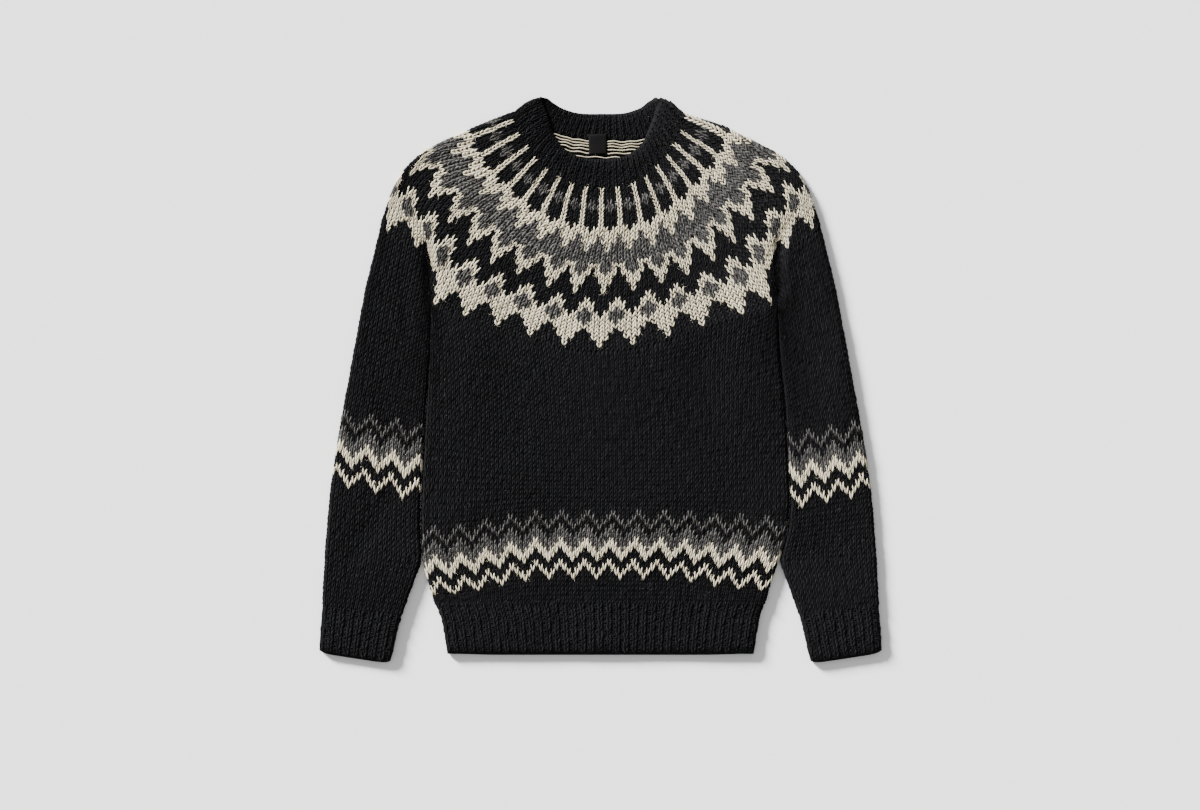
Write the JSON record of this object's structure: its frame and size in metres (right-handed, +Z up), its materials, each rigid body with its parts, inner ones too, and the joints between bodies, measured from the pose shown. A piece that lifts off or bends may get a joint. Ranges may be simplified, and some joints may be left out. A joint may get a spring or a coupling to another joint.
{
  "type": "nordic yoke sweater",
  "caption": "Long-sleeved knitted yoke sweater with ribbed crew neck, cuffs and hem, laid flat on its back.",
  "frame": {"origin": "centre of the laid-out garment's outline, on the surface that it lies on", "axes": "+Z up through both layers, +Y towards the neck, +X towards the sleeve at the picture's right"},
  "size_m": [0.6752, 0.6796, 0.0099],
  "materials": {
    "black_wool": "fuzzy wool knit",
    "grey_wool": "fuzzy wool knit",
    "white_wool": "fuzzy wool knit",
    "woven_label": "satin woven tape"
  },
  "bodies": {
    "root": {"yoke": "black_wool", "body": "black_wool", "hem_rib": "black_wool", "neckband": "black_wool", "sleeve_left": "black_wool", "sleeve_right": "black_wool", "cuff_left": "black_wool", "cuff_right": "black_wool", "neck_label": "woven_label"}
  },
  "joints": []
}
